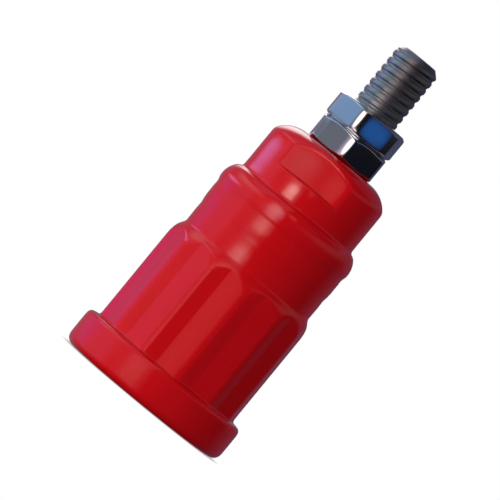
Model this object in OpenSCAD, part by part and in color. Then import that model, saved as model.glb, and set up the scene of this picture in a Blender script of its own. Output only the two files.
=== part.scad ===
// Panel banana socket: a moulded insulating housing that holds a turned contact, which carries a plug bore
// at the front and a threaded stud with two hexagon nuts at the rear.
// It stands on the front face of its flange. +Z runs along the axis, from the plug's side to the stud.
// One pair of wrench flats on the rear boss faces -Y and +Y. All sizes are in millimetres.

/* [Flange] */
// Diameter of the front flange
flange_d = 15.1; // [14.4:0.1:20]
// Thickness of the flange
flange_t = 3.15; // [2.4:0.05:5]
// Rounding of the flange's front edge
flange_front_round = 0.7; // [0.2:0.05:0.9]
// Rounding of the flange's rear edge
flange_rear_round = 0.4; // [0.1:0.05:0.5]

/* [Barrel] */
// Diameter of the barrel over the lands between its flutes
barrel_d = 13.45; // [12.8:0.05:13.6]
// Length of the barrel, from the flange to the start of the shoulder
barrel_l = 8.25; // [4:0.05:14]
// Length of the rounded shoulder behind the barrel
shoulder_l = 1.6; // [1:0.05:2.5]
// Number of lengthwise flutes around the barrel
flute_count = 12; // [8:1:16]
// Depth of a flute below the lands
flute_depth = 0.3; // [0.1:0.02:0.4]
// Width of the land between two flutes
flute_land = 0.3; // [0.1:0.05:0.6]
// Place of a flute's deepest line between its two lands, as a share of the way (0.5 is the middle)
flute_lean = 0.38; // [0.3:0.02:0.7]
// Angle of the first flute's deepest line from the -Y side
flute_turn = -2; // [-15:0.5:15]

/* [Rings] */
// Diameter over the crown of the first ring
ring_d = 12.25; // [11.8:0.05:12.4]
// Growth of the diameter from each ring to the next
ring_growth = 0.16; // [0:0.02:0.2]
// Length of one ring
ring_l = 2.1; // [1.5:0.05:3]
// Number of rings between the shoulder and the bead
ring_count = 2; // [1:1:4]
// Height of a ring's crown above its edges
ring_crown = 0.05; // [0.03:0.01:0.3]
// Diameter over the collar bead behind the rings
bead_d = 12.65; // [12.5:0.05:13]
// Length of the collar bead
bead_l = 1.9; // [1.5:0.05:2.3]
// Radius of the bead's round section
bead_round = 1.9; // [1.8:0.05:2.5]
// Distance of the bead's crest from its front edge
bead_crest = 0.5; // [0.3:0.05:0.8]

/* [Rear boss] */
// Diameter of the boss behind the bead
boss_d = 10.8; // [10.2:0.1:11.2]
// Length of the boss, from the bead to the rear face
boss_l = 5.15; // [4.6:0.05:7]
// Radius of the boss's rounded end
boss_round = 2.6; // [2.3:0.05:3.5]
// Diameter of the flat seat for the lock nut on the rear face
seat_d = 6.4; // [6:0.1:7]
// Distance across the two wrench flats
flats_af = 9.2; // [8.8:0.1:9.8]
// Length of the wrench flats, from the rear face
flats_l = 3.25; // [2:0.05:3.5]

/* [Cavity] */
// Diameter of the cavity around the contact, which takes the plug's sleeve
cavity_d = 8.4; // [8.2:0.05:9]
// Thickness of the wall between the cavity and the rear face
rear_wall = 3.6; // [3.5:0.05:4.5]
// Chamfer at the mouth of the cavity
cavity_chamfer = 0.4; // [0.1:0.05:0.8]

/* [Contact] */
// Bore for the plug's pin
bore_d = 4; // [3.5:0.05:4.2]
// Distance of the end of the bore's straight wall from the seat of the collar
bore_stop = 1.75; // [1.4:0.05:4]
// Chamfer at the mouth of the bore
bore_chamfer = 0.4; // [0.1:0.05:0.6]
// Outside diameter of the contact's tube
tube_d = 6; // [5.6:0.05:6.4]
// Depth of the tube's front end behind the flange's front face
tube_recess = 2.9; // [2:0.1:4]
// Thickness of the collar that seats on the rear wall
collar_t = 1.2; // [0.8:0.05:2]
// Diameter of the plain shank in the rear wall
shank_d = 4.5; // [4.2:0.05:5]
// Distance that the shank ends short of the rear face
shank_short = 0.25; // [0.1:0.05:0.5]
// Diameter of the stud over its thread
stud_d = 3.95; // [3.8:0.05:4]
// Length of the stud behind the rear face
stud_l = 10.05; // [7:0.05:16]
// Chamfer at the tip of the stud
stud_chamfer = 0.5; // [0.2:0.05:0.8]

/* [Nuts] */
// Distance across the flats of a nut
nut_af = 6; // [5.5:0.1:7]
// Height of a nut
nut_h = 2.2; // [1.8:0.05:3]
// Slope of the chamfer on a nut's corners
nut_chamfer_angle = 30; // [15:1:40]
// Distance that a nut's flat end face stops short of its flats
nut_face_short = 0.15; // [0.05:0.05:0.3]
// Countersink at each end of a nut's thread
nut_countersink = 0.2; // [0.1:0.05:0.3]
// Turn of the lock nut, from one corner facing -Y
lock_nut_turn = 7.5; // [-30:0.5:30]
// Turn of the terminal nut, from one corner facing -Y
terminal_nut_turn = -3.5; // [-30:0.5:30]

/* [Clearances] */
// Gap around the stud in a nut, on the radius
thread_clear = 0.025; // [0.015:0.005:0.06]
// Gap around the shank in the rear wall, on the radius
shank_clear = 0.05; // [0.02:0.01:0.15]
// Gap around the collar in the cavity, on the radius
collar_clear = 0.1; // [0.05:0.05:0.3]

/* [Hidden] */

// Sides of a round form
$fn = 96;
// Angle of the drill's point at the end of the bore
drill_point = 118;
// Length that a cutting shape runs past the face it cuts
cut = 1;

flange_r = flange_d / 2;
barrel_r = barrel_d / 2;
ring_r = ring_d / 2;
bead_r = bead_d / 2;
boss_r = boss_d / 2;
seat_r = seat_d / 2;
cavity_r = cavity_d / 2;
bore_r = bore_d / 2;
tube_r = tube_d / 2;
shank_r = shank_d / 2;
stud_r = stud_d / 2;
nut_bore_r = stud_r + thread_clear;
nut_corner_r = nut_af / 2 / cos(30);

z_root = flange_t / 2;
z_shoulder = flange_t + barrel_l;
z_rings = z_shoulder + shoulder_l;
z_bead = z_rings + ring_count * ring_l;
z_boss = z_bead + bead_l;
z_rear = z_boss + boss_l;
z_floor = z_rear - rear_wall;
z_tip = z_rear + stud_l;
z_bore_end = z_floor - bore_stop;

// Radius of the arc that rises by h over half its chord
function arc_radius(half_chord, h) = (half_chord * half_chord + h * h) / (2 * h);

// Point of the plan at radius r and angle a, counted from the -Y side
function polar(r, a) = [r * sin(a), -r * cos(a)];

// Section of the flange: a plate with both of its edges rounded
module flange_section() {
    translate([0, flange_front_round])
        square([flange_r, flange_t - flange_front_round - flange_rear_round]);
    edge_section(flange_front_round, flange_front_round, 0);
    edge_section(flange_rear_round, flange_t - flange_rear_round, flange_t);
}

// One rounded edge of the flange, with its arc's centre at z_arc and its plate face at z_face
module edge_section(edge_round, z_arc, z_face) {
    translate([flange_r - edge_round, z_arc])
        circle(edge_round);
    translate([0, min(z_arc, z_face)])
        square([flange_r - edge_round, edge_round]);
}

// Section of the shoulder: an arc that leaves the barrel smoothly and drops to the rings
module shoulder_section() {
    arc_r = arc_radius(shoulder_l, barrel_r - ring_r);
    intersection() {
        translate([barrel_r - arc_r, z_shoulder])
            circle(arc_r);
        translate([0, z_shoulder])
            square([barrel_r, shoulder_l]);
    }
}

// Section of one crowned ring, counted from the shoulder
module ring_section(i) {
    arc_r = arc_radius(ring_l / 2, ring_crown);
    crown_r = ring_r + i * ring_growth / 2;
    z = z_rings + i * ring_l;
    intersection() {
        translate([crown_r - arc_r, z + ring_l / 2])
            circle(arc_r);
        translate([0, z])
            square([crown_r, ring_l]);
    }
}

// Section of the collar bead, round and steeper towards the rear
module bead_section() {
    intersection() {
        translate([bead_r - bead_round, z_bead + bead_crest])
            circle(bead_round);
        translate([0, z_bead])
            square([bead_r, bead_l]);
    }
}

// Section of the boss, which also runs on inside the rings and the barrel as their core.
// Its end is an arc that leaves the nut's seat smoothly and falls to the wall.
module boss_section() {
    reach = boss_r - seat_r;
    end_r = max(boss_round, reach);
    end_h = end_r - sqrt(end_r * end_r - reach * reach);
    translate([0, z_root])
        square([boss_r, z_rear - end_h - z_root]);
    translate([0, z_root])
        square([seat_r, z_rear - z_root]);
    intersection() {
        translate([seat_r, z_rear - end_r])
            circle(end_r);
        translate([0, z_boss])
            square([boss_r, boss_l]);
    }
}

// Section of everything behind the flange, rooted inside the flange
module body_section() {
    translate([0, z_root])
        square([barrel_r, z_shoulder - z_root]);
    shoulder_section();
    for (i = [0 : ring_count - 1]) ring_section(i);
    bead_section();
    boss_section();
}

// Plan of one flute: two flat flanks that fall from the lands to a line off the middle
module flute_plan() {
    pitch = 360 / flute_count;
    land_angle = flute_land / barrel_r * 180 / PI;
    span = pitch - land_angle;
    valley = polar(barrel_r - flute_depth, 0);
    left_land = polar(barrel_r, -flute_lean * span);
    right_land = polar(barrel_r, (1 - flute_lean) * span);
    past = 1.2;
    polygon([
        valley,
        valley + past * (right_land - valley),
        polar(past * barrel_r, 0),
        valley + past * (left_land - valley)
    ]);
}

module flutes() {
    for (i = [0 : flute_count - 1])
        rotate([0, 0, flute_turn + i * 360 / flute_count])
            linear_extrude(z_rings)
                flute_plan();
}

// Material taken off the boss for one wrench flat, on its -Y side
module wrench_flat() {
    translate([-boss_d / 2 - cut, -boss_d / 2 - cut, z_rear - flats_l])
        cube([boss_d + 2 * cut, boss_d / 2 + cut - flats_af / 2, flats_l + cut]);
}

module cavity() {
    translate([0, 0, -cut])
        cylinder(r = cavity_r, h = z_floor + cut);
    translate([0, 0, -cut])
        cylinder(r1 = cavity_r + cavity_chamfer + cut, r2 = cavity_r, h = cavity_chamfer + cut);
    cylinder(r = shank_r + shank_clear, h = z_rear + cut);
}

module fluted_body() {
    difference() {
        rotate_extrude() body_section();
        flutes();
        wrench_flat();
        mirror([0, 1, 0]) wrench_flat();
    }
}

module housing() {
    color([0.74, 0.05, 0.08])
        difference() {
            union() {
                rotate_extrude() flange_section();
                fluted_body();
            }
            cavity();
        }
}

// The contact turned from one bar: tube, collar, shank and stud
module contact_outside() {
    rotate_extrude()
        polygon([
            [0, tube_recess],
            [tube_r, tube_recess],
            [tube_r, z_floor - collar_t],
            [cavity_r - collar_clear, z_floor - collar_t],
            [cavity_r - collar_clear, z_floor],
            [shank_r, z_floor],
            [shank_r, z_rear - shank_short],
            [stud_r, z_rear - shank_short],
            [stud_r, z_tip - stud_chamfer],
            [stud_r - stud_chamfer, z_tip],
            [0, z_tip]
        ]);
}

// Drilled bore with a chamfered mouth and a drill-point end
module plug_bore() {
    point_h = bore_r / tan(drill_point / 2);
    rotate_extrude()
        polygon([
            [0, tube_recess - cut],
            [bore_r + bore_chamfer + cut, tube_recess - cut],
            [bore_r, tube_recess + bore_chamfer],
            [bore_r, z_bore_end],
            [0, z_bore_end + point_h]
        ]);
}

module contact() {
    color([0.72, 0.71, 0.68])
        difference() {
            contact_outside();
            plug_bore();
        }
}

// Threaded hole of a nut, with a countersink at each end
module nut_bore() {
    mouth_r = nut_bore_r + nut_countersink + cut;
    rotate_extrude()
        polygon([
            [0, -cut],
            [mouth_r, -cut],
            [nut_bore_r, nut_countersink],
            [nut_bore_r, nut_h - nut_countersink],
            [mouth_r, nut_h + cut],
            [0, nut_h + cut]
        ]);
}

// Hexagon nut with both ends chamfered, one corner facing -Y, from z upwards
module hex_nut(z) {
    face_r = nut_af / 2 - nut_face_short;
    outer_r = nut_corner_r + nut_face_short;
    chamfer_h = (outer_r - face_r) * tan(nut_chamfer_angle);
    translate([0, 0, z])
        difference() {
            intersection() {
                rotate([0, 0, 30]) cylinder(r = nut_corner_r, h = nut_h, $fn = 6);
                rotate_extrude()
                    polygon([
                        [0, 0], [face_r, 0], [outer_r, chamfer_h],
                        [outer_r, nut_h - chamfer_h], [face_r, nut_h], [0, nut_h]
                    ]);
            }
            nut_bore();
        }
}

module lock_nut() {
    color([0.78, 0.79, 0.8])
        rotate([0, 0, lock_nut_turn]) hex_nut(z_rear);
}

module terminal_nut() {
    color([0.78, 0.79, 0.8])
        rotate([0, 0, terminal_nut_turn]) hex_nut(z_rear + nut_h);
}

housing();
contact();
lock_nut();
terminal_nut();
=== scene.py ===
"""Looks of a panel banana socket: a moulded housing, a turned contact with its stud, and two nuts.

Every piece is a surface of two parameters around the part's axis. A row of its grid is a place along the
piece's section, a column is an angle around the axis, and the radius is a formula of both.
Angles are counted from the -Y side towards +X. Lengths are in metres.
"""

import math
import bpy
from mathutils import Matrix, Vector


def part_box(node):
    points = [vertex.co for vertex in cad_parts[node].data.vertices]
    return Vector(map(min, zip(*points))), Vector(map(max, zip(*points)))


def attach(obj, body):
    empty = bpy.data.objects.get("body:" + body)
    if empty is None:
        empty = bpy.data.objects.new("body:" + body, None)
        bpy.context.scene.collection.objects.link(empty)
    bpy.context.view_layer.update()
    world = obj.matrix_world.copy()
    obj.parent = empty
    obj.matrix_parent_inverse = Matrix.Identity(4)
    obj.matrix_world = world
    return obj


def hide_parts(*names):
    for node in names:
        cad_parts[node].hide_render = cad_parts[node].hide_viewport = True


bl_info = {
    "name": "Banana Socket",
    "version": (1, 0, 0),
    "blender": (4, 5, 0),
    "location": "View3D > Sidebar > Socket",
    "description": "Builds a moulded panel socket, its threaded contact, two nuts and a pale studio",
    "category": "Add Mesh",
}

import bpy
import numpy as np
from bpy.props import FloatProperty, FloatVectorProperty, IntProperty, PointerProperty
from mathutils import Matrix, Vector

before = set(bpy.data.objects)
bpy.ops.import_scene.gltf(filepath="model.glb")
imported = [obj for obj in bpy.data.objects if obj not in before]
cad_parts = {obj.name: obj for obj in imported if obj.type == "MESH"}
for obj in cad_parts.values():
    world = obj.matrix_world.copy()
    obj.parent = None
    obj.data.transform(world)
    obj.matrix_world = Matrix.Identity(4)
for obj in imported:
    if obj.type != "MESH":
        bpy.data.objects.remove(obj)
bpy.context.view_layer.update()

MM = 0.001

# Bodies that the pieces ride on
SOCKET_BODY = "socket"
NUT_BODY = "nut"

# Spacing of an outline's points, and number of a plan's angles, before rows and columns are picked
FINE_STEP = 0.01 * MM
PLAN_ANGLES = 14400

# Longest step and largest turn from row to row, and from column to column, of each piece's mesh
HOUSING_ROWS = (1.2 * MM, math.radians(9))
HOUSING_COLUMNS = (0.4 * MM, math.radians(5))
CONTACT_ROWS = (1.5 * MM, math.radians(15))
NUT_ROWS = (0.5 * MM, math.radians(12))
NUT_COLUMNS = (0.6 * MM, math.radians(3))

# Columns around the contact, and rows in one turn of a thread
CONTACT_COLUMNS = 120
THREAD_ROWS = 20


# Settings

def length(name, description, default):
    """A size in metres, shown as a distance."""
    return FloatProperty(
        name=name, description=description, default=default,
        min=0.0, precision=5, subtype="DISTANCE", unit="LENGTH",
    )


def angle(name, description, degrees):
    """An angle that is given in degrees and shown as one."""
    return FloatProperty(
        name=name, description=description, default=math.radians(degrees),
        precision=2, subtype="ANGLE", unit="ROTATION",
    )


def share(name, description, default):
    """A number from 0 to 1."""
    return FloatProperty(
        name=name, description=description, default=default, min=0.0, max=1.0, subtype="FACTOR",
    )


def power(name, description, default):
    """The power of a light, in watts."""
    return FloatProperty(name=name, description=description, default=default, min=0.0, unit="POWER")


def colour(name, description, default):
    """A colour, in the renderer's linear values."""
    return FloatVectorProperty(
        name=name, description=description, default=default,
        size=3, min=0.0, soft_max=1.0, subtype="COLOR",
    )


class SocketHousing(bpy.types.PropertyGroup):
    """Sizes and colours of the moulded housing."""

    flange_d: length("Flange diameter", "Diameter of the front flange", 2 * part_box("housing")[1].x)
    flange_t: length("Flange thickness", "Thickness of the flange", 3.15 * MM)
    front_round: length("Front edge", "Rounding of the flange's front edge", 0.7 * MM)
    back_round: length("Back edge", "Rounding of the flange's rear edge", 0.4 * MM)
    barrel_d: length("Barrel diameter", "Diameter over the lands between the flutes", 13.45 * MM)
    barrel_l: length("Barrel length", "From the flange to the start of the shoulder", 8.25 * MM)
    shoulder_l: length("Shoulder length", "Length of the rounded shoulder behind the barrel", 1.6 * MM)
    flute_count: IntProperty(name="Flutes", description="Flutes around the barrel", default=12, min=3)
    flute_depth: length("Flute depth", "Depth of a flute below the lands", 0.3 * MM)
    flute_land: length("Flute land", "Width of the land between two flutes", 0.3 * MM)
    flute_lean: share("Flute lean", "Place of a flute's deepest line between its lands", 0.38)
    flute_turn: angle("Flute turn", "Angle of the first flute's deepest line", -2.0)
    ring_d: length("Ring diameter", "Diameter over the crown of the first ring", 12.25 * MM)
    ring_growth: length("Ring growth", "Growth of the diameter from ring to ring", 0.16 * MM)
    ring_l: length("Ring length", "Length of one ring", 2.1 * MM)
    ring_count: IntProperty(name="Rings", description="Rings behind the shoulder", default=2, min=1)
    ring_crown: length("Ring crown", "Height of a ring's crown above its edges", 0.05 * MM)
    bead_d: length("Bead diameter", "Diameter over the collar bead", 12.65 * MM)
    bead_l: length("Bead length", "Length of the collar bead", 1.9 * MM)
    bead_round: length("Bead section", "Radius of the bead's round section", 1.9 * MM)
    bead_crest: length("Bead crest", "Distance of the bead's crest from its front edge", 0.5 * MM)
    boss_d: length("Boss diameter", "Diameter of the boss behind the bead", 10.8 * MM)
    boss_round: length("Boss end", "Radius of the boss's rounded end", 2.6 * MM)
    seat_d: length("Nut seat", "Diameter of the lock nut's flat seat", 6.4 * MM)
    flats_af: length("Wrench flats", "Distance across the two wrench flats", 9.2 * MM)
    flats_l: length("Flats length", "Length of the wrench flats, from the rear face", 3.25 * MM)
    cavity_d: length("Cavity diameter", "Diameter of the cavity around the contact", 8.4 * MM)
    cavity_chamfer: length("Cavity chamfer", "Chamfer at the mouth of the cavity", 0.4 * MM)
    rear_wall: length("Rear wall", "Wall between the cavity and the rear face", 3.6 * MM)
    hole_d: length("Shank hole", "Hole in the rear wall for the contact's shank", 4.6 * MM)
    rear_z: length("Rear face", "Height of the rear face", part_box("housing")[1].z)
    corner_round: length("Moulded corners", "Softness of the section's corners", 0.2 * MM)
    flute_round: length("Flute corners", "Softness of the flutes' corners", 0.04 * MM)
    flat_round: length("Flat corners", "Softness of the wrench flats' edges", 0.14 * MM)
    plastic: colour("Plastic", "Colour of the moulded plastic", (0.58, 0.0035, 0.008))
    plastic_deep: colour("Plastic, deep", "Colour of its darker pigment streaks", (0.51, 0.002, 0.005))


class SocketContact(bpy.types.PropertyGroup):
    """Sizes and colours of the turned contact."""

    front_z: length("Tube front", "Height of the tube's front end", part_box("contact")[0].z)
    tip_z: length("Stud tip", "Height of the stud's tip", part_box("contact")[1].z)
    collar_d: length("Collar diameter", "Diameter of the collar", 2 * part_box("contact")[1].x)
    collar_t: length("Collar thickness", "Thickness of the collar", 1.2 * MM)
    bore_d: length("Plug bore", "Bore for the plug's pin", 4.0 * MM)
    bore_chamfer: length("Bore chamfer", "Chamfer at the mouth of the bore", 0.4 * MM)
    bore_stop: length("Bore stop", "Distance of the bore's end from the collar's seat", 1.75 * MM)
    bore_point: angle("Drill point", "Full angle of the drill's point", 118.0)
    tube_d: length("Tube diameter", "Outside diameter of the tube", 6.0 * MM)
    shank_d: length("Shank diameter", "Diameter of the shank in the rear wall", 4.5 * MM)
    shank_short: length("Shank end", "Distance of the shank's end from the rear face", 0.25 * MM)
    stud_d: length("Stud diameter", "Diameter of the stud over its thread", 3.95 * MM)
    stud_chamfer: length("Stud chamfer", "Chamfer at the stud's tip", 0.5 * MM)
    thread_pitch: length("Thread pitch", "Rise of the thread in one turn", 0.7 * MM)
    thread_depth: length("Thread depth", "Depth of the thread", 0.11 * MM)
    corner_round: length("Turned corners", "Softness of every turned corner", 0.035 * MM)
    plating: colour("Plating", "Colour of the nickel plating", (0.42, 0.42, 0.41))
    # Painted shade: the plating is given this darker colour deep in the thread's groove, where shade
    # falls.
    root: colour("Thread root", "Colour of the plating deep in the thread", (0.37, 0.38, 0.39))


class SocketNuts(bpy.types.PropertyGroup):
    """Sizes and colours of the two hexagon nuts."""

    across_flats: length("Across flats", "Distance across the flats of a nut", 6.0 * MM)
    bore_d: length("Nut bore", "Diameter of the nut's thread", 4.0 * MM)
    countersink: length("Countersink", "Countersink at each end of the thread", 0.2 * MM)
    face_short: length("Face ring", "Distance of the flat end face from the flats", 0.15 * MM)
    chamfer: angle("Chamfer", "Slope of the chamfer on the corners", 30.0)
    corner_round: length("Corner softness", "Softness of the worn corners", 0.45 * MM)
    edge_round: length("Edge softness", "Softness of the turned edges", 0.03 * MM)
    lock_turn: angle("Lock nut turn", "Turn of the lock nut, from a corner facing -Y", 7.5)
    terminal_turn: angle("Terminal nut turn", "Turn of the terminal nut", -3.5)
    plating: colour("Bright plating", "Colour of the bright plating", (0.76, 0.77, 0.79))


class SocketStage(bpy.types.PropertyGroup):
    """Camera, light and floor."""

    azimuth: angle("Azimuth", "Angle of the camera around the part, from the -Y side", 6.5)
    elevation: angle("Elevation", "Angle of the camera above the floor", 0.6)
    roll: angle("Roll", "Lean of the part's axis in the picture", 39.4)
    distance: length("Distance", "Distance of the camera from the part", 0.6)
    field: length("Field", "Width of the picture at the part", 38.8 * MM)
    aim_z: length("Aim height", "Height on the axis that the camera aims at", 14.42 * MM)
    aim_left: length("Aim offset", "Distance of the aim to the left of the axis", 0.81 * MM)
    ambient: share("Ambient", "Light from all around", 0.28)
    lamp_power: power("Lamp", "Power of the lamp beside the camera", 0.36)
    side_power: power("Side light", "Power of the large light on the left", 0.45)
    back_power: power("Back light", "Power of the large light behind the part", 0.4)
    floor: colour("Floor", "Colour of the floor", (0.9, 0.9, 0.9))


class SocketSettings(bpy.types.PropertyGroup):
    """All the settings of the socket."""

    housing: PointerProperty(type=SocketHousing, name="Housing", description="The moulded housing")
    contact: PointerProperty(type=SocketContact, name="Contact", description="The turned contact")
    nuts: PointerProperty(type=SocketNuts, name="Nuts", description="The two nuts")
    stage: PointerProperty(type=SocketStage, name="Stage", description="Camera, light and floor")


# Outlines and their rows

def arc(centre_r, centre_z, radius, start, end, steps=60):
    """Arc of an outline from one angle to another, in radians counted from outwards towards the rear."""
    turn = np.linspace(start, end, steps)
    return np.stack([centre_r + radius * np.cos(turn), centre_z + radius * np.sin(turn)], axis=1)


def rise_radius(half_chord, rise):
    """Radius of the arc that rises by this much over half its chord."""
    return (half_chord ** 2 + rise ** 2) / (2 * rise)


def smooth_min(a, b, rounding):
    """Smaller of a and b, rounded where they cross: half of a + b - sqrt((a - b)^2 + rounding^2)."""
    return (a + b - np.sqrt((a - b) ** 2 + rounding ** 2)) / 2


def smooth_max(a, b, rounding):
    """Larger of a and b, rounded where they cross."""
    return -smooth_min(-a, -b, rounding)


def travelled(points):
    """Distance along an outline up to each of its points, by radius and height alone."""
    steps = np.hypot(np.diff(points[:, 0]), np.diff(points[:, 1]))
    return np.concatenate([[0.0], np.cumsum(steps)])


def along(points, places, distance):
    """Points of an outline at the given distances along it, each column interpolated by itself."""
    return np.stack([np.interp(distance, places, column) for column in points.T], axis=1)


def softened(outline, rounding):
    """Closed outline with its corners rounded.

    Its points are set out evenly, and every column is averaged along the outline with Gaussian weights.
    The average is taken on the column's Fourier terms, each scaled by exp(-(frequency * rounding)^2 / 2).
    """
    loop = np.concatenate([outline, outline[:1]])
    places = travelled(loop)
    count = int(places[-1] / FINE_STEP)
    even = along(loop, places, np.arange(count) * places[-1] / count)
    frequency = 2 * np.pi * np.fft.fftfreq(count, places[-1] / count)
    terms = np.fft.fft(even, axis=0) * np.exp(-((frequency * rounding) ** 2) / 2)[:, None]
    return np.fft.ifft(terms, axis=0).real


def softened_to_axis(outline, rounding):
    """Outline from the axis to the axis with its corners rounded. Its own mirror image closes it."""
    mirror = outline[-2:0:-1] * np.array([-1.0, 1.0])
    soft = softened(np.concatenate([outline, mirror]), rounding)
    half = soft[: len(soft) // 2 + 1].copy()
    half[[0, -1], 0] = 0.0
    return np.maximum(half, 0.0)


def picked(curve, longest, turn, extra=0.0):
    """Distances along a curve of complex points at which it gets a row.

    The rows stand `longest` apart on straight stretches, and closer where the curve turns, so that it
    turns by no more than `turn` from row to row. `extra` adds rows for each metre of the curve's steps.
    """
    steps = np.diff(curve)
    size = np.abs(steps)
    bend = np.abs(np.angle(steps[1:] / steps[:-1]))
    bend = np.concatenate([bend[:1], bend])
    rows = np.concatenate([[0.0], np.cumsum(size / longest + bend / turn + size * extra)])
    count = int(np.ceil(rows[-1]))
    places = np.concatenate([[0.0], np.cumsum(size)])
    return np.interp(np.linspace(0, rows[-1], count + 1), rows, places)


def outline_rows(outline, longest, turn, extra, closed):
    """Rows picked along a fine outline. `extra(r, z)` gives the added rows for each metre."""
    if closed:
        outline = np.concatenate([outline, outline[:1]])
    curve = outline[:, 0] + 1j * outline[:, 1]
    places = picked(curve, longest, turn, extra(outline[:-1, 0], outline[:-1, 1]))
    return along(outline, travelled(outline), places[:-1] if closed else places)


def plan_columns(radius, rounding, longest, turn, extra):
    """Columns picked around a plan, as their angles and radii, after its corners are rounded.

    `radius(a)` gives the sharp plan at each angle, and `extra(a)` the added columns for each metre.
    """
    around = np.linspace(-np.pi, np.pi, PLAN_ANGLES, endpoint=False)
    sharp = radius(around)[:, None] * np.stack([np.sin(around), -np.cos(around)], axis=1)
    columns = outline_rows(
        softened(sharp, rounding), longest, turn, lambda x, y: extra(np.arctan2(x, -y)), closed=True,
    )
    return np.arctan2(columns[:, 0], -columns[:, 1]), np.hypot(columns[:, 0], columns[:, 1])


# Meshes

def mesh_object(name, points, faces):
    """Object at the origin with these points and faces."""
    mesh = bpy.data.meshes.new(name)
    mesh.from_pydata(points.tolist(), [], faces)
    made = bpy.data.objects.new(name, mesh)
    bpy.context.scene.collection.objects.link(made)
    return made


def grid_faces(index):
    """Four-sided faces between the neighbouring rows and columns of a grid of point numbers."""
    corners = (index[:-1, :-1], index[:-1, 1:], index[1:, 1:], index[1:, :-1])
    return np.stack(corners, axis=-1).reshape(-1, 4).tolist()


def surface(name, radius, height, angles, closed, groove=None):
    """Object whose point in row i and column j is (radius[i, j], angles[j], height[i]) around the axis.

    The columns run all the way round. With `closed` the last row joins the first one; otherwise the first
    and last rows lie on the axis and are one point each. The faces look to the left of the rows' way when
    seen along the axis, which is outwards on a section that runs up its outside.
    `groove` is kept on the points as an attribute for the material.
    """
    rows, columns = radius.shape
    heights = np.broadcast_to(height[:, None], radius.shape)
    points = np.stack([radius * np.sin(angles), -radius * np.cos(angles), heights], axis=-1)
    index = np.arange(rows * columns).reshape(rows, columns)
    if closed:
        index = np.concatenate([index, index[:1]])
        kept = points.reshape(-1, 3)
        faces = []
    else:
        index = np.clip(index - columns + 1, 0, (rows - 2) * columns + 1)
        kept = np.concatenate([points[:1, 0], points[1:-1].reshape(-1, 3), points[-1:, 0]])
        first, last = index[1], index[-2]
        faces = np.stack([np.zeros_like(first), np.roll(first, -1), first], axis=1).tolist()
        faces += np.stack([last, np.roll(last, -1), np.full_like(last, len(kept) - 1)], axis=1).tolist()
        index = index[1:-1]
    made = mesh_object(name, kept, faces + grid_faces(np.concatenate([index, index[:, :1]], axis=1)))
    made.data.polygons.foreach_set("use_smooth", np.ones(len(made.data.polygons), dtype=bool))
    if groove is not None:
        values = np.concatenate([groove[:1, 0], groove[1:-1].ravel(), groove[-1:, 0]])
        attribute = made.data.attributes.new("groove", "FLOAT", "POINT")
        attribute.data.foreach_set("value", values.astype(np.float32))
    return made


def dress(piece, material, body, node):
    """Gives a piece its material, says which body carries it, and hides the solid that it stands for."""
    piece.data.materials.append(material)
    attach(piece, body)
    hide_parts(node)


# The housing

def housing_outline(h):
    """Closed section of the housing as (radius, height, share of the body).

    It runs out along the front face, up the outside, in over the rear face and down the inside. The last
    column rises from 0 at the flange's rear edge to 1 at the barrel, and falls to 0 on the rear face.
    """
    flange_r, barrel_r, ring_r = h.flange_d / 2, h.barrel_d / 2, h.ring_d / 2
    bead_r, boss_r, seat_r = h.bead_d / 2, h.boss_d / 2, h.seat_d / 2
    cavity_r, hole_r = h.cavity_d / 2, h.hole_d / 2
    shoulder_z = h.flange_t + h.barrel_l
    ring_z = shoulder_z + h.shoulder_l
    bead_z = ring_z + h.ring_count * h.ring_l
    boss_z = bead_z + h.bead_l
    floor_z = h.rear_z - h.rear_wall
    quarter = np.pi / 2

    shoulder_r = rise_radius(h.shoulder_l, barrel_r - ring_r)
    crown_r = rise_radius(h.ring_l / 2, h.ring_crown)
    crown_half = math.asin(h.ring_l / 2 / crown_r)
    rings = [
        arc(
            ring_r + i * h.ring_growth / 2 - crown_r, ring_z + (i + 0.5) * h.ring_l, crown_r,
            -crown_half, crown_half,
        )
        for i in range(h.ring_count)
    ]
    end_r = max(h.boss_round, boss_r - seat_r)
    flange = np.concatenate([
        [[cavity_r + h.cavity_chamfer, 0.0]],
        arc(flange_r - h.front_round, h.front_round, h.front_round, -quarter, 0),
        arc(flange_r - h.back_round, h.flange_t - h.back_round, h.back_round, 0, quarter),
    ])
    body = np.concatenate([
        [[barrel_r, h.flange_t]],
        arc(barrel_r - shoulder_r, shoulder_z, shoulder_r, 0, math.asin(h.shoulder_l / shoulder_r)),
        *rings,
        arc(
            bead_r - h.bead_round, bead_z + h.bead_crest, h.bead_round,
            -math.asin(h.bead_crest / h.bead_round), math.asin((h.bead_l - h.bead_crest) / h.bead_round),
        ),
        [[boss_r, boss_z]],
        arc(seat_r, h.rear_z - end_r, end_r, math.acos((boss_r - seat_r) / end_r), quarter),
    ])
    inside = np.array([
        [hole_r, h.rear_z],
        [hole_r, floor_z],
        [cavity_r, floor_z],
        [cavity_r, h.cavity_chamfer],
    ])
    whole = np.concatenate([flange, body, inside])
    in_body = np.concatenate([np.zeros(len(flange)), np.ones(len(body)), np.zeros(len(inside))])
    return np.column_stack([whole, in_body])


def flank(radius_1, angle_1, radius_2, angle_2, around):
    """Radius at each angle of the straight line through two points of the plan.

    r = r1 r2 sin(a2 - a1) / (r1 sin(a - a1) + r2 sin(a2 - a)).
    """
    across = radius_1 * np.sin(around - angle_1) + radius_2 * np.sin(angle_2 - around)
    return radius_1 * radius_2 * math.sin(angle_2 - angle_1) / across


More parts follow.
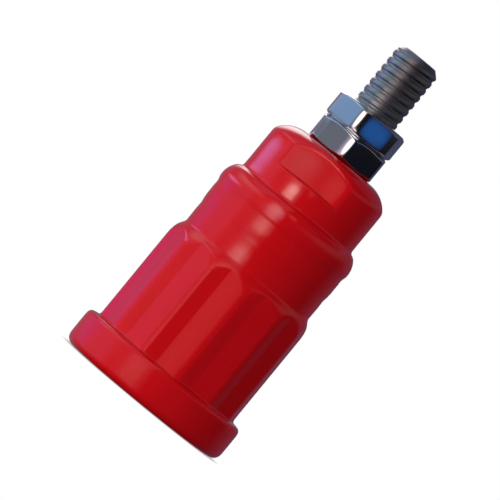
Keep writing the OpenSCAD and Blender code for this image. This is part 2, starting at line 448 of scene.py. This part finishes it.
def fluted_plan(h, around):
    """Radius of the fluted barrel at each angle: in each pitch, the larger of two straight flanks.

    Both flanks fall from the lands to the deepest line, which lies off the middle of the flute. The lands
    lie on the barrel's circle.
    """
    barrel_r = h.barrel_d / 2
    pitch = 2 * np.pi / h.flute_count
    span = pitch - h.flute_land / barrel_r
    left, right = -h.flute_lean * span, (1 - h.flute_lean) * span
    low = left - (pitch - span) / 2
    place = (around - h.flute_turn - low) % pitch + low
    deep_r = barrel_r - h.flute_depth
    flute = np.maximum(
        flank(barrel_r, left, deep_r, 0.0, place), flank(deep_r, 0.0, barrel_r, right, place),
    )
    return np.minimum(flute, barrel_r)


def flat_limit(h, around, z):
    """Radius that the wrench flats leave: the distance of a flat plane, behind a steep ledge.

    The plane is half the width across flats over |cos a|, which is held above `least`. The ledge falls by
    `steep` times the way behind the place where the flats start. The larger of the two counts.
    """
    steep, least = 5.0, 0.05
    plane = h.flats_af / 2 / np.maximum(np.abs(np.cos(around)), least)
    ledge = h.boss_d / 2 + steep * (h.rear_z - h.flats_l - z)
    return smooth_max(plane, ledge, h.flat_round)


def housing_shell(h):
    """The moulded housing: its section around the axis, held in by the flutes and the wrench flats."""
    inside_r = h.cavity_d / 2 + 0.1 * MM
    ledge_z, ledge_half, ledge_step = h.rear_z - h.flats_l + 0.08 * MM, 0.2 * MM, 0.03 * MM
    shoulder_half, shoulder_step = h.shoulder_l / 2, 0.08 * MM
    shoulder_z = h.flange_t + h.barrel_l + shoulder_half
    edge_sine = math.sin(math.acos(h.flats_af / h.boss_d))
    edge_half, edge_step = 0.04, 0.08 * MM

    def more_rows(r, z):
        """More rows on the ledge of the flats and on the shoulder, where the flutes run out."""
        on_ledge = np.abs(z - ledge_z) < ledge_half
        on_shoulder = np.abs(z - shoulder_z) < shoulder_half
        return (r > inside_r) * (on_ledge / ledge_step + on_shoulder / shoulder_step)

    def more_columns(around):
        """More columns at the upright edges of the flats."""
        return (np.abs(np.abs(np.sin(around)) - edge_sine) < edge_half) / edge_step

    outline = softened(housing_outline(h), h.corner_round)
    rows = outline_rows(outline, *HOUSING_ROWS, more_rows, closed=True)
    angles, plan = plan_columns(
        lambda around: fluted_plan(h, around), h.flute_round, *HOUSING_COLUMNS, more_columns,
    )
    r, z, in_body = (column[:, None] for column in rows.T)
    barrel = np.minimum(r, h.barrel_d / 2)
    fluted = r - in_body * (barrel - smooth_min(barrel, plan, h.flute_round))
    radius = smooth_min(fluted, flat_limit(h, angles, z), h.flat_round)
    return surface("housing_shell", radius, rows[:, 1], angles, closed=True)


# The contact

def contact_outline(c, rear_z, floor_z):
    """Section of the contact as (radius, height), from the bore's end to the stud's tip on the axis."""
    bore_r, tube_r, collar_r = c.bore_d / 2, c.tube_d / 2, c.collar_d / 2
    shank_r, stud_r = c.shank_d / 2, c.stud_d / 2
    bore_end = floor_z - c.bore_stop
    return np.array([
        [0.0, bore_end + bore_r / math.tan(c.bore_point / 2)],
        [bore_r, bore_end],
        [bore_r, c.front_z + c.bore_chamfer],
        [bore_r + c.bore_chamfer, c.front_z],
        [tube_r, c.front_z],
        [tube_r, floor_z - c.collar_t],
        [collar_r, floor_z - c.collar_t],
        [collar_r, floor_z],
        [shank_r, floor_z],
        [shank_r, rear_z - c.shank_short],
        [stud_r, rear_z - c.shank_short],
        [stud_r, c.tip_z - c.stud_chamfer],
        [stud_r - c.stud_chamfer, c.tip_z],
        [0.0, c.tip_z],
    ])


def thread_groove(c, z, around, start_z):
    """Depth of the thread's groove, from 0 on the crest to 1 in the root, along a right-hand helix.

    The place in a turn is the fraction of z / pitch - a / (2 pi). The crest is flat over `crest` of the
    pitch and the root over `root`, with eased flanks between. The groove starts behind `start_z`.
    """
    crest, root = 0.34, 0.1
    place = (z / c.thread_pitch - around / (2 * np.pi)) % 1.0
    from_root = np.abs(2 * place - 1)
    depth = np.clip((1 - crest - from_root) / (1 - crest - root), 0.0, 1.0)
    return depth ** 2 * (3 - 2 * depth) * np.clip((z - start_z) / c.thread_pitch, 0.0, 1.0)


def threaded_contact(c, h):
    """The turned contact: tube with its bore, collar and shank, and the stud with its thread cut in."""
    floor_z = h.rear_z - h.rear_wall
    start_z = h.rear_z - c.shank_short

    def more_rows(r, z):
        """More rows along the thread."""
        on_stud = (z > start_z) & (r > c.stud_d / 2 - c.stud_chamfer)
        return on_stud * THREAD_ROWS / c.thread_pitch

    outline = softened_to_axis(contact_outline(c, h.rear_z, floor_z), c.corner_round)
    rows = outline_rows(outline, *CONTACT_ROWS, more_rows, closed=False)
    angles = np.linspace(-np.pi, np.pi, CONTACT_COLUMNS, endpoint=False)
    r, z = rows[:, :1], rows[:, 1:]
    groove = thread_groove(c, z, angles, start_z)
    radius = np.where(z > start_z, np.minimum(r, c.stud_d / 2 - c.thread_depth * groove), r)
    return surface("threaded_contact", radius, rows[:, 1], angles, closed=False, groove=groove)


# The nuts

def nut_outline(n, low_z, high_z):
    """Closed section of a nut as (radius, height): along the front, over the chamfers, down the bore."""
    bore_r = n.bore_d / 2
    face_r = n.across_flats / 2 - n.face_short
    outer_r = n.across_flats / 2 / math.cos(math.pi / 6) + n.face_short
    chamfer = (outer_r - face_r) * math.tan(n.chamfer)
    return np.array([
        [bore_r + n.countersink, low_z],
        [face_r, low_z],
        [outer_r, low_z + chamfer],
        [outer_r, high_z - chamfer],
        [face_r, high_z],
        [bore_r + n.countersink, high_z],
        [bore_r, high_z - n.countersink],
        [bore_r, low_z + n.countersink],
    ])


def hexagon(n, turn, around):
    """Plan of a nut: half the width across flats over the cosine of the angle to the flat's middle."""
    sixth = np.pi / 3
    apart = (around - turn) % sixth - sixth / 2
    return n.across_flats / 2 / np.cos(apart)


def hex_nut(name, node, n, c, turn):
    """One nut: its section around the axis, held in by the hexagon, with a thread cut into its bore.

    The thread's groove runs all through the bore, half a pitch away from the stud's.
    """
    low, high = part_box(node)
    bore_r, face_r = n.bore_d / 2, n.across_flats / 2 - n.face_short
    chamfer_step = 0.06 * MM

    def more_rows(r, z):
        """More rows on the chamfers, where they cross the flats, and along the thread."""
        in_bore = r < bore_r + c.thread_depth
        return (r > face_r) / chamfer_step + in_bore * THREAD_ROWS / c.thread_pitch

    outline = softened(nut_outline(n, low.z, high.z), n.edge_round)
    rows = outline_rows(outline, *NUT_ROWS, more_rows, closed=True)
    angles, plan = plan_columns(
        lambda around: hexagon(n, turn, around), n.corner_round, *NUT_COLUMNS, np.zeros_like,
    )
    r, z = rows[:, :1], rows[:, 1:]
    groove = thread_groove(c, z + c.thread_pitch / 2, angles, low.z - c.thread_pitch)
    radius = np.maximum(smooth_min(r, plan, n.edge_round), bore_r + c.thread_depth * groove)
    return surface(name, radius, rows[:, 1], angles, closed=True)


# Materials

class Signal:
    """An output socket in a node tree. Operators on signals and numbers add Math nodes."""

    def __init__(self, tree, socket):
        self.tree = tree
        self.socket = socket

    def math(self, operation, *values):
        """Signal of a Math node on these signals and numbers."""
        return self.tree.add("ShaderNodeMath", {"operation": operation}, dict(enumerate(values)))

    def __add__(self, other):
        return self.math("ADD", self, other)

    def __sub__(self, other):
        return self.math("SUBTRACT", self, other)

    def __mul__(self, other):
        return self.math("MULTIPLY", self, other)

    def __truediv__(self, other):
        return self.math("DIVIDE", self, other)

    def __radd__(self, other):
        return self.math("ADD", other, self)

    def __rsub__(self, other):
        return self.math("SUBTRACT", other, self)

    def __rmul__(self, other):
        return self.math("MULTIPLY", other, self)


class NodeTree:
    """The nodes of a material, a lamp or the world."""

    def __init__(self, owner):
        owner.use_nodes = True
        self.nodes = owner.node_tree.nodes
        self.links = owner.node_tree.links
        self.nodes.clear()

    def add(self, kind, settings=None, sockets=None, output=0):
        """Adds a node: its settings first, then its sockets' values or links. Returns one output."""
        node = self.nodes.new(kind)
        for name, value in (settings or {}).items():
            if name == "stops":
                self.set_stops(node.color_ramp, value)
            else:
                setattr(node, name, value)
        for name, value in (sockets or {}).items():
            if isinstance(value, Signal):
                self.links.new(value.socket, node.inputs[name])
            else:
                node.inputs[name].default_value = value
        return Signal(self, node.outputs[output]) if node.outputs else node

    @staticmethod
    def set_stops(ramp, stops):
        """Gives a colour ramp its stops, as (position, colour)."""
        while len(ramp.elements) > 1:
            ramp.elements.remove(ramp.elements[-1])
        ramp.elements[0].position, ramp.elements[0].color = stops[0]
        for position, value in stops[1:]:
            ramp.elements.new(position).color = value

    def mix(self, factor, first, second):
        """Colour that goes from the first to the second as the factor goes from 0 to 1."""
        return self.add(
            "ShaderNodeMix", {"data_type": "RGBA"}, {"Factor": factor, "A": first, "B": second}, "Result",
        )

    def noise(self, place, scale, detail, squeeze=(1.0, 1.0, 1.0)):
        """Noise from 0 to 1, with `scale` cells to the metre times the axis's own `squeeze`."""
        mapped = self.add("ShaderNodeMapping", {}, {"Vector": place, "Scale": squeeze})
        return self.add(
            "ShaderNodeTexNoise", {}, {"Vector": mapped, "Scale": scale, "Detail": detail}, "Fac",
        )


def rgba(value):
    """Colour with full opacity."""
    return (*value, 1.0)


BLACK, WHITE = rgba((0.0, 0.0, 0.0)), rgba((1.0, 1.0, 1.0))


def moulded_plastic(h):
    """Glossy moulded plastic: faint pigment streaks along the flow, uneven gloss, a fine orange peel."""
    material = bpy.data.materials.new("moulded_plastic")
    tree = NodeTree(material)
    place = tree.add("ShaderNodeTexCoord", output="Object")
    streaks = tree.noise(place, 900.0, 4.0, squeeze=(1.0, 1.0, 0.3))
    patches = tree.noise(place, 350.0, 2.0)
    peel = tree.noise(place, 4200.0, 2.0)
    bump = tree.add("ShaderNodeBump", {}, {"Strength": 0.06, "Distance": 0.03 * MM, "Height": peel})
    shader = tree.add("ShaderNodeBsdfPrincipled", {}, {
        "Base Color": tree.mix(streaks, rgba(h.plastic_deep), rgba(h.plastic)),
        "Roughness": 0.09 + 0.07 * patches,
        "IOR": 1.5,
        "Normal": bump,
    })
    tree.add("ShaderNodeOutputMaterial", {}, {"Surface": shader})
    return material


def nickel_plating(c):
    """Dull nickel on a turned and threaded bar: painted shade darkens the thread's root, with turning
    lines.
    """
    material = bpy.data.materials.new("nickel_plating")
    tree = NodeTree(material)
    place = tree.add("ShaderNodeTexCoord", output="Object")
    groove = tree.add("ShaderNodeAttribute", {"attribute_name": "groove"}, output="Fac")
    turning = tree.noise(place, 1500.0, 3.0, squeeze=(0.15, 0.15, 6.0))
    blotches = tree.noise(place, 1100.0, 3.0)
    bump = tree.add("ShaderNodeBump", {}, {"Strength": 0.1, "Distance": 0.01 * MM, "Height": turning})
    shader = tree.add("ShaderNodeBsdfPrincipled", {}, {
        # Painted shade: the groove's depth blends the base colour from the plating towards the darker
        # root colour.
        "Base Color": tree.mix(groove * (0.75 + 0.25 * blotches), rgba(c.plating), rgba(c.root)),
        "Metallic": 1.0,
        "Roughness": 0.34 + 0.16 * blotches,
        "Normal": bump,
    })
    tree.add("ShaderNodeOutputMaterial", {}, {"Surface": shader})
    return material


def bright_plating(n):
    """Bright plating on drawn hexagon bar: faint lines along the flats and a slightly cloudy gloss."""
    material = bpy.data.materials.new("bright_plating")
    tree = NodeTree(material)
    place = tree.add("ShaderNodeTexCoord", output="Object")
    drawn = tree.noise(place, 3500.0, 3.0, squeeze=(1.0, 1.0, 0.06))
    cloud = tree.noise(place, 700.0, 3.0)
    dull = tuple(0.9 * value for value in n.plating)
    bump = tree.add("ShaderNodeBump", {}, {"Strength": 0.08, "Distance": 0.01 * MM, "Height": drawn})
    shader = tree.add("ShaderNodeBsdfPrincipled", {}, {
        "Base Color": tree.mix(cloud, rgba(dull), rgba(n.plating)),
        "Metallic": 1.0,
        "Roughness": 0.06 + 0.08 * cloud,
        "Normal": bump,
    })
    tree.add("ShaderNodeOutputMaterial", {}, {"Surface": shader})
    return material


# The stage

# Soft lights: degrees to the camera's right and above the floor, distance, width and height, the setting
# of their power, and their tint
LIGHTS = {
    "lamp": (-29.0, 6.0, 0.25, (0.1, 0.15), "lamp_power", (1.0, 0.97, 0.93)),
    "side_light": (-75.0, 8.0, 0.3, (0.3, 0.3), "side_power", (0.9, 0.93, 1.0)),
    "back_light": (140.0, 20.0, 0.3, (0.2, 0.2), "back_power", (0.95, 0.96, 1.0)),
}


def towards(stage, beside, above):
    """Unit vector from the part to a place, in degrees to the camera's right and above the floor."""
    turn, rise = stage.azimuth + math.radians(beside), math.radians(above)
    return Vector((math.sin(turn) * math.cos(rise), -math.cos(turn) * math.cos(rise), math.sin(rise)))


def aim_point(stage):
    """Point that the camera and the lights look at."""
    return Vector((0.0, 0.0, stage.aim_z)) - stage.aim_left * towards(stage, 90.0, 0.0)


def add_camera(stage):
    """Long-lens camera, turned about its own axis so that the part leans to the right in the picture."""
    back = towards(stage, 0.0, math.degrees(stage.elevation))
    right = towards(stage, 90.0, 0.0)
    up = back.cross(right)
    tilted_right = math.cos(stage.roll) * right + math.sin(stage.roll) * up
    tilted_up = back.cross(tilted_right)
    data = bpy.data.cameras.new("camera")
    data.sensor_width = 36.0
    data.lens = data.sensor_width * stage.distance / stage.field
    data.clip_start, data.clip_end = 0.01, 10.0
    camera = bpy.data.objects.new("camera", data)
    turned = Matrix((tilted_right, tilted_up, back)).transposed()
    camera.matrix_world = Matrix.Translation(aim_point(stage) + stage.distance * back) @ turned.to_4x4()
    bpy.context.scene.collection.objects.link(camera)
    bpy.context.scene.camera = camera


def add_light(name, stage, beside, above, distance, size, power_setting, tint):
    """Rectangular soft light that faces the part. Its reflection is left to the screens of the stage."""
    data = bpy.data.lights.new(name, "AREA")
    data.shape = "RECTANGLE"
    data.size, data.size_y = size
    data.energy = getattr(stage, power_setting)
    data.color = tint
    light = bpy.data.objects.new(name, data)
    back = towards(stage, beside, above)
    light.location = aim_point(stage) + distance * back
    light.rotation_euler = back.to_track_quat("Z", "Y").to_euler()
    light.visible_camera = light.visible_glossy = False
    bpy.context.scene.collection.objects.link(light)


def seen_ray(tree):
    """1 for rays that show the background itself: from the camera, by reflection or through glass."""
    rays = {
        name: tree.add("ShaderNodeLightPath", output=name)
        for name in ("Is Camera Ray", "Is Glossy Ray", "Is Transmission Ray")
    }
    seen = rays["Is Camera Ray"].math("MAXIMUM", rays["Is Camera Ray"], rays["Is Glossy Ray"])
    return seen.math("MAXIMUM", seen, rays["Is Transmission Ray"])


def white_world(stage):
    """World that shows as white and lights the part softly from all around."""
    world = bpy.data.worlds.new("white_world")
    tree = NodeTree(world)
    strength = stage.ambient + (1.0 - stage.ambient) * seen_ray(tree)
    background = tree.add("ShaderNodeBackground", {}, {"Color": WHITE, "Strength": strength})
    tree.add("ShaderNodeOutputWorld", {}, {"Surface": background})
    bpy.context.scene.world = world


def pale_floor(stage, flange_r):
    """Round floor under the flange: pale and shaded at the part, running into the white background.

    It lies just below the flange, and is clear from below. Its reflection in the flange's edge is left to
    the dark foot of the surround.
    """
    corners, rim, drop = 128, 1.08 * flange_r, 0.02 * MM
    fade_start, fade_end, least_white = 0.95 * flange_r, 1.07 * flange_r, 0.4
    around = np.linspace(0.0, 2 * np.pi, corners, endpoint=False)
    points = np.stack([rim * np.cos(around), rim * np.sin(around), np.full(corners, -drop)], axis=1)
    floor = mesh_object("floor", points, [range(corners)])
    material = bpy.data.materials.new("pale_floor")
    tree = NodeTree(material)
    place = tree.add("ShaderNodeTexCoord", output="Object")
    away = tree.add("ShaderNodeVectorMath", {"operation": "LENGTH"}, {0: place}, "Value")
    fade = tree.add("ShaderNodeMapRange", {"interpolation_type": "SMOOTHSTEP"}, {
        "Value": away, "From Min": fade_start, "From Max": fade_end, "To Min": least_white, "To Max": 1.0,
    })
    paint = tree.add("ShaderNodeBsdfDiffuse", {}, {"Color": rgba(stage.floor)})
    glow = tree.add("ShaderNodeEmission", {}, {"Color": WHITE, "Strength": 1.0})
    above = tree.add("ShaderNodeMixShader", {}, {0: fade * seen_ray(tree), 1: paint, 2: glow})
    below = tree.add("ShaderNodeNewGeometry", output="Backfacing")
    clear = tree.add("ShaderNodeBsdfTransparent")
    mixed = tree.add("ShaderNodeMixShader", {}, {0: below, 1: above, 2: clear})
    tree.add("ShaderNodeOutputMaterial", {}, {"Surface": mixed})
    floor.data.materials.append(material)
    floor.visible_glossy = floor.visible_diffuse = False


# What the glossy surfaces show around the part: degrees to the camera's right, and the light there
SURROUND = (
    (-172, (0.20, 0.16, 0.22)),
    (-124, (0.20, 0.18, 0.30)),
    (-114, (0.30, 0.36, 0.50)),
    (-96, (0.30, 0.36, 0.50)),
    (-88, (0.23, 0.36, 0.59)),
    (-70, (0.23, 0.36, 0.59)),
    (-62, (0.16, 0.17, 0.21)),
    (-52, (0.16, 0.17, 0.21)),
    (-44, (0.40, 0.32, 0.42)),
    (-36, (0.60, 0.46, 0.50)),
    (-20, (0.60, 0.46, 0.48)),
    (-18, (0.48, 0.26, 0.26)),
    (-15, (0.48, 0.26, 0.26)),
    (-12.8, (0.50, 0.27, 0.30)),
    (-8, (0.01, 0.01, 0.015)),
    (106, (0.005, 0.005, 0.01)),
    (124, (0.06, 0.05, 0.09)),
    (138, (0.06, 0.07, 0.12)),
    (166, (0.06, 0.07, 0.12)),
)

# Soft oval cards near the part that show in its gloss: degrees to the camera's right, half their width in
# degrees, distance from the axis, lowest and highest point, and their light
CARDS = {
    "flat_card": (-18.8, 12.8, 9.5 * MM, 20.5 * MM, 24.4 * MM, (0.98, 0.88, 0.88)),
    "flat_side_card": (2.1, 8.3, 9.5 * MM, 20.3 * MM, 24.2 * MM, (1.1, 0.52, 0.48)),
    "stud_strip_card": (-21.5, 17.0, 40 * MM, 28 * MM, 60 * MM, (0.9, 0.9, 0.9)),
    "lock_side_card": (-80.0, 40.0, 12 * MM, 23.0 * MM, 27.2 * MM, (0.17, 0.18, 0.20)),
    "window_card": (-105.0, 28.0, 40 * MM, 17.4 * MM, 25.6 * MM, (1.3, 1.35, 3.2)),
    "low_window_card": (-110.0, 29.0, 44 * MM, -14 * MM, 26 * MM, (0.30, 0.30, 0.90)),
    "back_card": (-163.0, 22.0, 60 * MM, 22 * MM, 98 * MM, (3.0, 2.7, 2.7)),
    "blue_card": (33.6, 20.0, 11.5 * MM, 25.9 * MM, 29.4 * MM, (0.02, 0.10, 0.35)),
    "stud_card": (75.0, 80.0, 50 * MM, 26 * MM, 68 * MM, (0.20, 0.20, 0.21)),
    "sky_card": (-88.0, 50.0, 48 * MM, 28.5 * MM, 62 * MM, (0.60, 0.98, 1.00)),
}

# Small oval lamps that show as round spots in the gloss: degrees and radius of the mirroring surface, the
# lamp's distance from it and place along the axis, its width and height, the degrees that it shines over,
# and its light
SPOTS = {
    "ring_spot": (-11.6, 6.1 * MM, 2.9 * MM, 13.65 * MM, (4.2 * MM, 2.5 * MM), 70.0, (1.75, 1.7, 1.6)),
    "ring_spot_2": (-11.4, 6.2 * MM, 2.9 * MM, 16.38 * MM, (4.2 * MM, 2.05 * MM), 70.0, (1.75, 1.7, 1.6)),
    "bead_spot": (-10.5, 6.3 * MM, 0.3 * MM, 18.2 * MM, (2.2 * MM, 2.6 * MM), 170.0, (1.8, 1.65, 1.85)),
    "boss_spot": (-12.6, 5.4 * MM, 6.7 * MM, 20.35 * MM, (5.8 * MM, 2.6 * MM), 40.0, (6.2, 5.4, 4.9)),
    "lock_spot": (-4.0, 3.3 * MM, 5.7 * MM, 25.65 * MM, (7.6 * MM, 2.7 * MM), 90.0, (2.8, 2.8, 2.8)),
    "terminal_spot": (-18.0, 3.3 * MM, 5.7 * MM, 27.85 * MM, (6.2 * MM, 2.7 * MM), 90.0, (2.8, 2.8, 2.8)),
}

# Share of the half width and half height over which a card or a small lamp fades out at its rim
RIM_FADE = 0.8


def hue_and_peak(light):
    """Colour of a light, scaled so that its largest value is 1, and that largest value."""
    peak = max(light)
    return rgba(value / peak for value in light), peak


def only_reflected(screen, material):
    """Makes a screen part of the stage that shows in glossy surfaces and nowhere else."""
    screen.data.materials.append(material)
    screen.visible_camera = screen.visible_diffuse = screen.visible_shadow = False
    screen.visible_transmission = screen.visible_volume_scatter = False


def reflected_surround(stage):
    """Ball around the part that shows soft panels in its gloss and is dark below.

    With the rise e from -90 to 90 degrees, a row has the radius R cos e and lies R sin e above the aim.
    The panels follow the angle atan2(x, -y).
    """
    radius, rows, columns = 0.36, 49, 96
    dark_z, lit_z = -0.25, -0.1
    rise = np.linspace(-np.pi / 2, np.pi / 2, rows)
    angles = np.linspace(-np.pi, np.pi, columns, endpoint=False)
    screen = surface(
        "reflected_surround", np.outer(radius * np.cos(rise), np.ones(columns)),
        stage.aim_z + radius * np.sin(rise), angles, closed=False,
    )
    material = bpy.data.materials.new("reflected_surround")
    tree = NodeTree(material)
    place = tree.add("ShaderNodeTexCoord", output="Object")
    x, y, z = (tree.add("ShaderNodeSeparateXYZ", {}, {0: place}, axis) for axis in "XYZ")
    around = x.math("ARCTAN2", x, -1.0 * y)
    above = tree.add("ShaderNodeMapRange", {}, {"Value": z, "From Min": dark_z, "From Max": lit_z})
    full_turn = 2 * math.pi
    stops = [
        (0.5 + (math.radians(beside) + stage.azimuth) / full_turn, rgba(light))
        for beside, light in SURROUND
    ]
    panels = tree.add("ShaderNodeValToRGB", {"stops": stops}, {"Fac": 0.5 + around / full_turn}, "Color")
    shaded = tree.mix(above, BLACK, panels)
    glow = tree.add("ShaderNodeEmission", {}, {"Color": shaded, "Strength": 1.0})
    tree.add("ShaderNodeOutputMaterial", {}, {"Surface": glow})
    only_reflected(screen, material)


def reflected_card(name, stage, beside, half_width, distance, low, high, light):
    """Bent oval card that stands around the part's axis. Its parameters are the angle and the height.

    With u and v from -1 to 1 over the angle and the height, it fades to clear at its rim by
    3 t^2 - 2 t^3, where t is (1 - sqrt(u^2 + v^2)) / RIM_FADE, held between 0 and 1.
    """
    middle, half = stage.azimuth + math.radians(beside), math.radians(half_width)
    places = np.linspace(-1.0, 1.0, 41)
    u, v = np.meshgrid(places, places)
    around, z = middle + half * u, (low + high) / 2 + (high - low) / 2 * v
    points = np.stack([distance * np.sin(around), -distance * np.cos(around), z], axis=-1).reshape(-1, 3)
    card = mesh_object(name, points, grid_faces(np.arange(u.size).reshape(u.shape)))
    t = np.clip((1.0 - np.hypot(u, v)) / RIM_FADE, 0.0, 1.0)
    attribute = card.data.attributes.new("fade", "FLOAT", "POINT")
    attribute.data.foreach_set("value", (t ** 2 * (3 - 2 * t)).ravel().astype(np.float32))
    material = bpy.data.materials.new(name)
    tree = NodeTree(material)
    shown = tree.add("ShaderNodeAttribute", {"attribute_name": "fade"}, output="Fac")
    clear = tree.add("ShaderNodeBsdfTransparent")
    hue, peak = hue_and_peak(light)
    glow = tree.add("ShaderNodeEmission", {}, {"Color": hue, "Strength": peak})
    mixed = tree.add("ShaderNodeMixShader", {}, {0: shown, 1: clear, 2: glow})
    tree.add("ShaderNodeOutputMaterial", {}, {"Surface": mixed})
    only_reflected(card, material)


def reflected_spot(name, stage, turn, radius, gap, z, size, shine, light):
    """Oval lamp that shows in glossy surfaces alone. It stands where the surface mirrors the camera.

    A round surface mirrors the camera's ray at an angle `turn` into the angle 2 `turn`. The lamp's light
    fades towards its rim as a card's does. For a light of 1, its power is pi * width * height, over the
    gain tan(s) / (tan(s) - s) of a lamp that shines only within the angle s of its axis.
    """
    back = towards(stage, 2 * turn, 0.0)
    half = math.radians(shine) / 2
    data = bpy.data.lights.new(name, "AREA")
    data.shape = "ELLIPSE"
    data.size, data.size_y = size
    data.spread = 2 * half
    data.energy = math.pi * size[0] * size[1] * (math.tan(half) - half) / math.tan(half)
    tree = NodeTree(data)
    place = tree.add("ShaderNodeNewGeometry", output="Parametric")
    middle = (0.5, 0.5, 0.0)
    away = tree.add("ShaderNodeVectorMath", {"operation": "DISTANCE"}, {0: place, 1: middle}, "Value")
    fade = tree.add("ShaderNodeMapRange", {"interpolation_type": "SMOOTHSTEP"}, {
        "Value": 2.0 * away, "From Min": 1.0 - RIM_FADE, "From Max": 1.0, "To Min": 1.0, "To Max": 0.0,
    })
    hue, peak = hue_and_peak(light)
    glow = tree.add("ShaderNodeEmission", {}, {"Color": tree.mix(fade, BLACK, hue), "Strength": peak})
    tree.add("ShaderNodeOutputLight", {}, {"Surface": glow})
    lamp = bpy.data.objects.new(name, data)
    lamp.location = radius * towards(stage, turn, 0.0) + gap * back + Vector((0.0, 0.0, z))
    lamp.rotation_euler = back.to_track_quat("Z", "Y").to_euler()
    lamp.visible_camera = lamp.visible_diffuse = lamp.visible_transmission = False
    bpy.context.scene.collection.objects.link(lamp)


# Operators and panel

class SOCKET_OT_housing(bpy.types.Operator):
    """Build the moulded housing with its flutes, rings, bead and wrench flats"""

    bl_idname = "socket.housing"
    bl_label = "Housing"

    def execute(self, context):
        h = context.scene.banana_socket.housing
        dress(housing_shell(h), moulded_plastic(h), SOCKET_BODY, "housing")
        return {"FINISHED"}


class SOCKET_OT_contact(bpy.types.Operator):
    """Build the turned contact with its plug bore and threaded stud"""

    bl_idname = "socket.contact"
    bl_label = "Contact"

    def execute(self, context):
        settings = context.scene.banana_socket
        piece = threaded_contact(settings.contact, settings.housing)
        dress(piece, nickel_plating(settings.contact), SOCKET_BODY, "contact")
        return {"FINISHED"}


class SOCKET_OT_nuts(bpy.types.Operator):
    """Build the lock nut and the terminal nut"""

    bl_idname = "socket.nuts"
    bl_label = "Nuts"

    def execute(self, context):
        settings = context.scene.banana_socket
        n, c = settings.nuts, settings.contact
        plating = bright_plating(n)
        lock = hex_nut("lock_nut_hex", "lock_nut", n, c, n.lock_turn)
        terminal = hex_nut("terminal_nut_hex", "terminal_nut", n, c, n.terminal_turn)
        dress(lock, plating, SOCKET_BODY, "lock_nut")
        dress(terminal, plating, NUT_BODY, "terminal_nut")
        return {"FINISHED"}


class SOCKET_OT_stage(bpy.types.Operator):
    """Set up the camera, the lights, the floor and the surround"""

    bl_idname = "socket.stage"
    bl_label = "Stage"

    def execute(self, context):
        settings = context.scene.banana_socket
        stage = settings.stage
        context.scene.view_settings.view_transform = "Standard"
        add_camera(stage)
        white_world(stage)
        pale_floor(stage, settings.housing.flange_d / 2)
        reflected_surround(stage)
        for add, table in ((add_light, LIGHTS), (reflected_card, CARDS), (reflected_spot, SPOTS)):
            for name, place_and_light in table.items():
                add(name, stage, *place_and_light)
        return {"FINISHED"}


class SOCKET_PT_panel(bpy.types.Panel):
    """Sidebar panel of the socket"""

    bl_idname = "SOCKET_PT_panel"
    bl_label = "Banana Socket"
    bl_space_type = "VIEW_3D"
    bl_region_type = "UI"
    bl_category = "Socket"

    def draw(self, context):
        settings = context.scene.banana_socket
        for group, operator in zip(("housing", "contact", "nuts", "stage"), OPERATORS):
            box = self.layout.box()
            box.operator(operator.bl_idname)
            for name in getattr(settings, group).__annotations__:
                box.prop(getattr(settings, group), name)


GROUPS = (SocketHousing, SocketContact, SocketNuts, SocketStage, SocketSettings)
OPERATORS = (SOCKET_OT_housing, SOCKET_OT_contact, SOCKET_OT_nuts, SOCKET_OT_stage)
CLASSES = (*GROUPS, *OPERATORS, SOCKET_PT_panel)


def register():
    for cls in CLASSES:
        bpy.utils.register_class(cls)
    bpy.types.Scene.banana_socket = PointerProperty(
        type=SocketSettings, name="Banana socket", description="Sizes and colours of the banana socket",
    )


def unregister():
    del bpy.types.Scene.banana_socket
    for cls in reversed(CLASSES):
        bpy.utils.unregister_class(cls)


def main():
    """Builds every piece and the stage."""
    register()
    bpy.ops.socket.housing()
    bpy.ops.socket.contact()
    bpy.ops.socket.nuts()
    bpy.ops.socket.stage()


if __name__ == "__main__":
    main()
